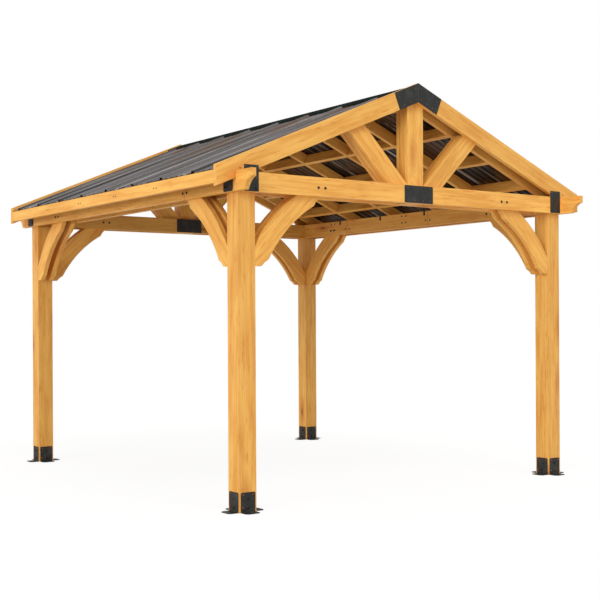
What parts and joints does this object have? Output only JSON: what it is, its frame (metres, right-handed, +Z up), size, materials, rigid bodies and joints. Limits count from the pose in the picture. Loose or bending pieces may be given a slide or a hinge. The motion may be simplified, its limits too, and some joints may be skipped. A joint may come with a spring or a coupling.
{
  "type": "gazebo",
  "caption": "Open timber gazebo with square posts, built-up beams with carved tails, gable trusses, curved knee braces, black steel plates and a ribbed metal roof.",
  "frame": {"origin": "on the ground, midway between the four posts", "axes": "+X across the gable towards the right side, +Y along the ridge from the front gable to the back, +Z up"},
  "size_m": [3.64, 4.086, 3.1355],
  "materials": {
    "post_wood": "stained satin",
    "beam_wood": "stained satin",
    "roof_wood": "stained satin",
    "black_steel": "matt powder coat",
    "roof_metal": "satin coil coat"
  },
  "bodies": {
    "root": {"post_front_left": "post_wood", "post_front_right": "post_wood", "post_back_left": "post_wood", "post_back_right": "post_wood", "king_post_front": "post_wood", "king_post_back": "post_wood", "truss_braces_front": "post_wood", "truss_braces_back": "post_wood", "side_beam_outer_left": "beam_wood", "side_beam_outer_right": "beam_wood", "side_beam_inner_left": "beam_wood", "side_beam_inner_right": "beam_wood", "chord_outer_front": "beam_wood", "chord_outer_back": "beam_wood", "chord_inner_front": "beam_wood", "chord_inner_back": "beam_wood", "rake_front_left": "beam_wood", "rake_front_right": "beam_wood", "rake_back_left": "beam_wood", "rake_back_right": "beam_wood", "fascia_left": "beam_wood", "fascia_right": "beam_wood", "knee_braces_front_left": "beam_wood", "knee_braces_front_right": "beam_wood", "knee_braces_back_left": "beam_wood", "knee_braces_back_right": "beam_wood", "rafters_left": "roof_wood", "rafters_right": "roof_wood", "ridge_board": "roof_wood", "blocking_left": "roof_wood", "blocking_right": "roof_wood", "brackets_front_left": "black_steel", "brackets_front_right": "black_steel", "brackets_back_left": "black_steel", "brackets_back_right": "black_steel", "gable_plates_front": "black_steel", "gable_plates_back": "black_steel", "side_plates_left": "black_steel", "side_plates_right": "black_steel", "rafter_ties_left": "black_steel", "rafter_ties_right": "black_steel", "roof_sheet_left": "roof_metal", "roof_sheet_right": "roof_metal", "ridge_cap": "roof_metal"}
  },
  "joints": []
}
